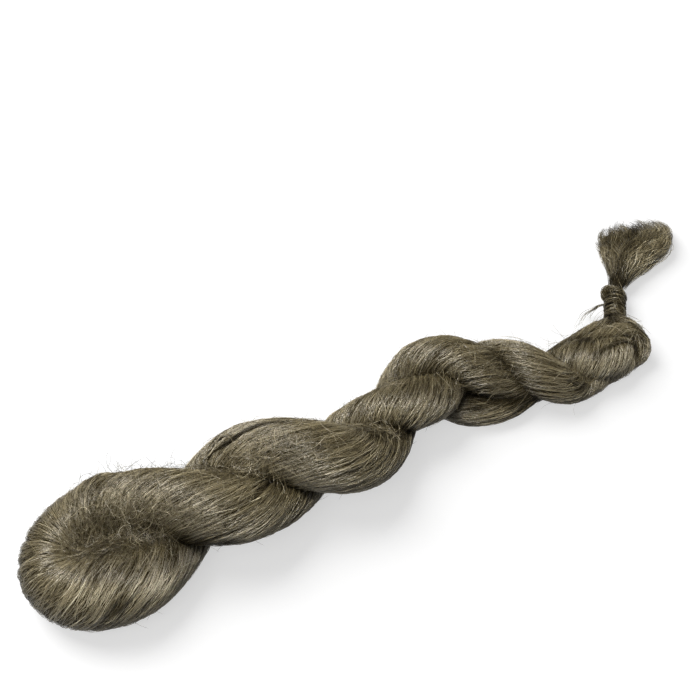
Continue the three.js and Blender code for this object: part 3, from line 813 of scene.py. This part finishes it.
def tangle(height, outline, line, count, reach, lift, curl):
    """Short curled fibre that lies every way about a line on the strick, and none past its outline."""
    step, least_height = 1.7, 7
    along = rng.uniform(0, len(line) - 1, count)
    x, y = (np.interp(along, range(len(line)), column) + rng.normal(0, reach, count) for column in zip(*line))
    hairs = draped_hairs(height, x, y, rng.uniform(*PHASES, count), rng.normal(0, curl, count), step,
                         rng.uniform(*lift, count))
    return hairs[(outline(hairs[..., 0], hairs[..., 1]).min(1) > least_height) & gentle(hairs)]


def crossing_hairs(height, strand, count):
    """Single hairs that lie over the strand, a little off its lay, and the stray hair of the photo."""
    step, widest, off_lay, curl, lift = 2.0, 1.1, 0.5, 0.05, (0.05, 0.5)
    s, angle = rng.uniform(0, strand.length, count), rng.uniform(-widest, widest, count)
    x, y, _ = strand.place(s, angle, 0.0).T
    way = strand.ahead(s, angle, 0.0, step)
    heading = np.arctan2(way[:, 1], way[:, 0]) + rng.normal(0, off_lay, count)
    hairs = draped_hairs(height, x, y, heading, rng.normal(0, curl, count), step, rng.uniform(*lift, count))
    stray = draped_hairs(height, *(np.array([value]) for value in STRAY_HAIR))
    return np.concatenate([stray, hairs[gentle(hairs)]])


def painted_shade_hairs(line, count, spread):
    """Dark fibres that lie along a parting or a crease as painted shade, so that its depth shows."""
    samples, points, starts, lengths, lift = 80, 8, (0, 0.6), (0.15, 0.4), 0.4
    first = rng.uniform(*starts, (count, 1))
    share = first + rng.uniform(*lengths, (count, 1)) * np.linspace(0, 1, points)
    paths = [np.interp(share, np.linspace(0, 1, samples), column) for column in spline(line, samples).T]
    return np.stack(paths, -1) + rng.normal(size=(count, 1, 3)) * spread + UP * lift


def tie_axis(points):
    """The nearest points of the tie's axis."""
    along = (points - TIE_START) @ TIE_WAY
    return TIE_START + along[:, None] * TIE_WAY


def tie_rows():
    """The wisp that is wound round the neck, a row for each small step of a turn."""
    steps, section, lay, tilt = 8, (0.98, 0.85), 14, 1.1
    drift, drift_pace, swells = 0.2, 4.1, ((0.18, 2.3), (0.12, 7.1))
    side = np.cross(UP, TIE_WAY)
    first, last = TIE_SPAN
    rows = []
    for k in range(TIE_TURNS * steps + 1):
        turn = k / steps
        angle = 2 * math.pi * turn + math.pi
        radius = 4.9
        for size, pace in swells:
            radius += size * math.sin(pace * turn)
        share = turn / TIE_TURNS
        along = first + (last - first) * share + drift * math.sin(drift_pace * turn)
        along += tilt * math.sin(angle) * share**2
        place = TIE_START + TIE_WAY * along + (side * math.sin(angle) + UP * math.cos(angle)) * radius
        rows.append((*place, *section, lay))
    return rows


def tones(count, middle, spread):
    """Tones of single fibres, with some that stand out either way."""
    light_share, dark_share, change = 0.06, 0.1, (0.12, 0.3)
    tone = rng.normal(middle, spread, count)
    pick = rng.uniform(0, 1, count)
    light, dark = pick < light_share, pick > 1 - dark_share
    tone[light] += rng.uniform(*change, light.sum())
    tone[dark] -= rng.uniform(*change, dark.sum())
    return np.clip(tone, *TONE_RANGE)


def in_pieces(name, paths, radius, tone, place=STRICK, count=1):
    """Fibres shared out along the strick, so that no piece has too many faces."""
    order = np.argsort(paths[:, paths.shape[1] // 2, 0])
    for number, part in enumerate(np.array_split(order, count)):
        belongs(fibre_mesh(f"{name}_{number + 1}", paths[part], radius[part], tone[part], flax), *place)


def thickness(count, middle):
    """Radii of fibres, most of them fine and a few of them clumps."""
    spread, least, most = 0.28, 0.05, 0.21
    return np.clip(middle * np.exp(rng.normal(0, spread, count)), least, most)


def brush_fibres(locks, count):
    """Fibres of the brush and their tones: clumps that wave as one, run along a lock and lean to the next.

    A clump has an angle, a start of its wave, a lean and a tone. By the tie the brush is darker.
    """
    points, lengths, ends = 9, (24, 44), (0.8, 1.0)
    clumps, clump_low, clump_high = 14, (-2.1, 0, -0.1, -0.26), (2.1, 6.3, 1.0, 0.16)
    dark, dark_reach, light, highlight_from, highlight_reach = 0.26, 11, 0.1, 20, 9
    which = rng.integers(0, len(locks), count)
    paths = np.zeros((count, points, 3))
    tone = np.zeros((count, points))
    for number, lock in enumerate(locks):
        mine = np.flatnonzero(which == number)
        n = len(mine)
        clump = rng.integers(0, clumps, n)
        around, start, lean, shade = rng.uniform(clump_low, clump_high, (clumps, 4))[clump].T[..., None]
        first = rng.uniform(0, 0.5, n) * lock.length
        last = np.minimum(first + rng.uniform(*lengths, n), lock.length * rng.uniform(*ends, n))
        s = first[:, None] + (last - first)[:, None] * np.linspace(0, 1, points)
        share = s / lock.length
        apart = 1 - 0.6 * share**2
        angle = around + rng.normal(0, 0.5, (n, 1)) * apart
        waving = np.minimum(2 * share, 1)
        angle += 0.4 * waving * np.sin(start + s / 3.6)
        lift = rng.uniform(-0.9, 0.4, (n, 1)) + 0.6 * waving * np.sin(1.7 * start + s / 3)
        lean = lean + rng.normal(0, 0.2, (n, 1)) * apart
        beside = locks[number + 1 if number < len(locks) - 1 else number - 1]
        own, near = lock.place(s, angle, lift), beside.place(share * beside.length, angle, lift)
        paths[mine] = own + (near - own) * lean[..., None]
        # Fibre lifted off its lock is a little lighter and sunk fibre darker: painted shade
        tone[mine] = shade + 0.1 * lift + BRUSH_TONES[number]
    wave = rng.uniform(0.4, 0.9, (count, 1)) * np.arange(points) + rng.uniform(*PHASES, (count, 1))
    swing = rng.uniform(0.1, 0.5, (count, 1)) * np.linspace(0.2, 1, points)
    paths += unit(rng.normal(size=(count, 1, 3))) * (swing * np.sin(wave))[..., None]
    paths = above_floor(paths)
    from_tie = np.linalg.norm(paths - TIE_TOP, axis=-1)
    tone += tones(count, 0.45, 0.13)[:, None] - dark * np.exp(-from_tie / dark_reach)
    # Painted highlight: a little way past the tie the brush is lighter
    tone += light * np.exp(-(((from_tie - highlight_from) / highlight_reach) ** 2))
    return paths, np.clip(tone, *TONE_RANGE)


def frayed(strand, count, points, spread):
    """Fibres that leave together and part towards the strand's end, most of them short."""
    shortest, start_spread, waves, swing = 0.3, 0.25, 9, 1.2
    last = shortest + (1 - shortest) * rng.uniform(0, 1, (count, 1)) ** 4
    share = last * np.linspace(0, 1, points)
    paths = strand.read(strand.centre, share * strand.length)
    share = share[..., None]
    paths += rng.normal(size=(count, 1, 3)) * (start_spread + spread * share**2)
    paths += np.sin(share * waves + rng.uniform(*PHASES, (count, 1, 3))) * (swing * share)
    return above_floor(paths)


make_camera()
make_stage()

bundle = Strand(LEG_TO_FOLD + LEG_FROM_FOLD)
for middle, angle, reach, depth, width in PARTINGS:
    bundle.part(middle, math.radians(angle), reach, depth, width)
for _ in range(LOOSE_PARTINGS):
    middle = rng.uniform(LOOSE_MARGIN, bundle.length - LOOSE_MARGIN)
    bundle.part(middle, *(rng.uniform(*ends) for ends in LOOSE_RANGES))
wisp = Strand(WISP)
locks = [Strand([(*row, 0) for row in rows], locks=0.4) for rows in BRUSH]
turns = Strand(tie_rows(), top=lambda points: points - tie_axis(points), locks=0.2)
knob = Strand(TIE_KNOB, locks=0.3)
free_end = Strand([(*place, TIE_END_RADIUS, TIE_END_RADIUS, 0) for place in TIE_END], locks=0)
hook = Strand(HOOK, locks=0.5)
filling = Strand(HOLLOW, locks=0.3)
plied = [bundle, wisp, *locks]
strands = [*plied, hook]
everything = [*strands, turns, filling]

flax = fibre_material("flax_fibre", FLAX)
shaded = core_material("flax_core", DARK)

# Cores. Columns: name, strand, points round it, spacing, inset, how much denser its rings are where the
# fibre turns across it, how much of the strand it takes, and where it belongs
CORES = [
    ("strick_core", bundle, 56, 2.4, 0.7, 0.5, 1, STRICK), ("wisp_core", wisp, 32, 2.0, 0.7, 0, 1, STRICK),
    ("hook_core", hook, 24, 2.0, 0.6, 0, 1, STRICK), ("hollow_core", filling, 24, 2.0, 0.4, 0, 1, STRICK),
    *((f"brush_core_{number + 1}", lock, 20, 2.0, 1.3, 0, 0.78, STRICK) for number, lock in enumerate(locks)),
    ("tie_core", turns, 12, 1.3, 0.15, 0, 1, TIE), ("knob_core", knob, 12, 1.0, 0.2, 0, 1, TIE),
]
for *row, place in CORES:
    belongs(core_mesh(*row, shaded), *place)

# Combed fibre. Columns: name, strand, pieces, fibres, length, step, range of lift, waver, spreads off the
# lay, radius, tone and its spread. Painted shade darkens them close to other plied strands and to the hook
PLIED_SHADE_REACH, HOOK_SHADE_REACH = 2.8, 0.9
COMBED = [
    ("fibres", bundle, 3, 10800, 36, 5.1, (-0.7, 0.3), 0.09, (0.03, 0.05, 0.08, 0.2), 0.093, 0.51, 0.12),
    ("short_fibres", bundle, 2, 6300, 13, 2.1, (-0.2, 0.4), 0.18, (0.06, 0.12, 0.26), 0.08, 0.52, 0.14),
    ("wisp_fibres", wisp, 1, 900, 32, 4.0, (-0.6, 0.3), 0.12, (0.05, 0.1, 0.2), 0.105, 0.46, 0.17),
    ("hook_fibres", hook, 1, 620, 26, 3.7, (-0.5, 0.3), 0.08, (0.03, 0.06, 0.14), 0.095, 0.5, 0.12),
]
for name, strand, parts, count, length, step, depths, waver, skew, radius, middle, spread in COMBED:
    laid = surface_fibres(strands, strand, count, length, step, depths, waver, skew)
    near = [(plied, HOOK_SHADE_REACH)] if strand is hook else [(plied, PLIED_SHADE_REACH), ([hook], HOOK_SHADE_REACH)]
    radii = thickness(count, radius)
    in_pieces(name, laid[0], radii, tone_with_painted_light(near, strand, laid, middle, spread), count=parts)

brush, brush_tone = brush_fibres(locks, 2400)
in_pieces("brush_fibres", brush, thickness(len(brush), 0.11), brush_tone)

# The tie: its turns, with painted shade on the side towards the neck and between the turns, its knob and its
# frayed end
wound = surface_fibres([turns], turns, 520, 16, 1.8, (-0.25, 0.15), 0.1, (0.05, 0.15))
wound_tone_with_painted_shade = tones(len(wound[0]), 0.37, 0.12)[:, None] - 0.5 * (1 - np.cos(wound[2]))
in_pieces("tie_fibres", wound[0], thickness(len(wound[0]), 0.1), wound_tone_with_painted_shade, TIE)
lump = surface_fibres([knob], knob, 110, 10, 1.5, (-0.3, 0.2), 0.1, (0.1, 0.3))
in_pieces("knob_fibres", lump[0], thickness(110, 0.1), tones(110, 0.28, 0.16), TIE)
end = frayed(free_end, 44, 10, 3.0)
in_pieces("tie_end_fibres", end, thickness(44, 0.065), tones(44, 0.3, 0.14), TIE)


def anywhere(out, place):
    return 0.08 + 0.5 * np.clip(out[:, 2] + 0.3 * out[:, 1], 0, 1)


def over_the_top(out, place):
    """Near the top of the fold, and behind it."""
    top, reach = [(-140, 0, 26), (-122, -8, 30), (-104, -18, 34)], 9
    near = np.exp(-((line_distance(place, top) / reach) ** 2))
    return near * (out[:, 1] > 0.3) * (out[:, 2] > 0)


def beside_the_tie(out, place):
    """On the far side of the wisp, from its middle to the tie."""
    return (out[:, 1] > 0.2) * (out[:, 2] > -0.2) * (place[:, 0] > 84)


# Hairs that stand off. Columns: name, strand, hairs, range of length, points, spring, curl, where they
# grow, range of radius, tone and its spread
STANDING = [
    ("fuzz", bundle, 1650, (1.5, 6), 6, (0.05, 0.7), (0.05, 0.3), anywhere, (0.055, 0.08), 0.42, 0.2),
    ("wild_hairs", bundle, 100, (5, 15), 9, (0.3, 0.9), (0.1, 0.4), over_the_top, (0.055, 0.085), 0.25, 0.15),
    ("flying_hairs", bundle, 150, (5, 12), 9, (0.1, 0.5), (0.04, 0.2), anywhere, (0.045, 0.06), 0.45, 0.2),
    ("stray_wisps", wisp, 34, (6, 15), 9, (0.2, 0.8), (0.04, 0.2), beside_the_tie, (0.055, 0.07), 0.5, 0.15),
]
for name, strand, count, length, points, spring, curl, favour, radii, middle, spread in STANDING:
    hairs = surface_hairs(everything, strand, count, length, points, spring, curl, favour)
    in_pieces(name, hairs, rng.uniform(*radii, count), tones(count, middle, spread))

# Dark fibres of painted shade along the partings and creases
dark = np.concatenate([painted_shade_hairs(*row) for row in SHADE_HAIR_LINES])
in_pieces("painted_shade_hairs", dark, thickness(len(dark), 0.13), rng.uniform(0.02, 0.16, len(dark)))

# Tangled and crossing hairs lie on the finely or broadly smoothed surface of the strick
FINE, BROAD = 5, 30
heights = {blur: height_field(everything, blur) for blur in (FINE, BROAD)}
tangled = [tangle(heights[blur], heights[FINE], *where) for *where, _, blur in TANGLES]
tangle_tone = np.concatenate([tones(len(hairs), row[-2], 0.2) for hairs, row in zip(tangled, TANGLES)])
tangled = np.concatenate(tangled)
in_pieces("tangle", tangled, thickness(len(tangled), 0.075), tangle_tone)

crossing = crossing_hairs(heights[FINE], bundle, 700)
in_pieces("crossing", crossing, thickness(len(crossing), 0.062), tones(len(crossing), 0.56, 0.14))

bpy.context.scene.cycles.denoising_prefilter = "NONE"
